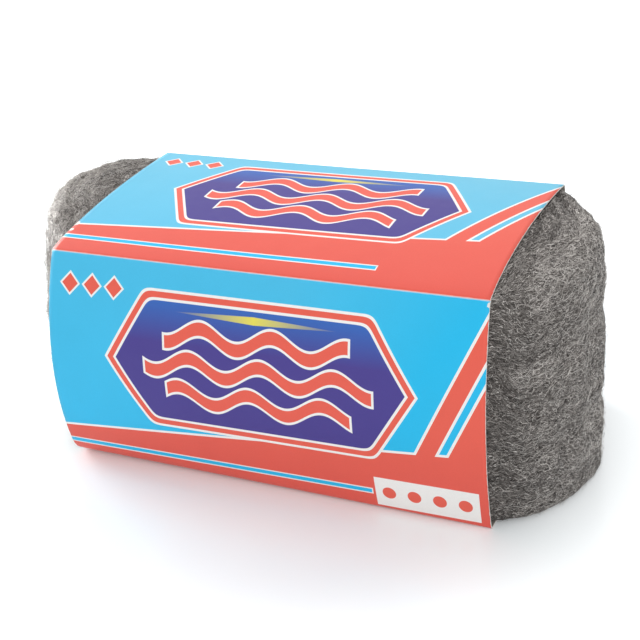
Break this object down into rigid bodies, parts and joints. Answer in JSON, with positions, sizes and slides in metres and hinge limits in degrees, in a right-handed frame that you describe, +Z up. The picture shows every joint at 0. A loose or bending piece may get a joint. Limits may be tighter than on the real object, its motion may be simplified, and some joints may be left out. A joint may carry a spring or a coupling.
{
  "type": "steel wool pad roll in a card sleeve",
  "caption": "Loaf-shaped roll of fine steel wool held shut by a folded, printed card sleeve; the rounded ends stand out of the sleeve.",
  "frame": {"origin": "on the ground plane, under the middle of the object's box", "axes": "+X along the roll and the sleeve, +Y to the back, +Z up; the front panel faces -Y"},
  "size_m": [0.237, 0.1134, 0.0987],
  "materials": {
    "steel_wool": "very fine matted steel fibres that run round the roll, dark grey with small bright glints",
    "printed_card": "coated card printed in sky blue, coral red, white and indigo, soft gloss, pale cut edges"
  },
  "bodies": {
    "root": {"steel_wool_roll": "steel_wool", "card_sleeve": "printed_card"}
  },
  "joints": []
}
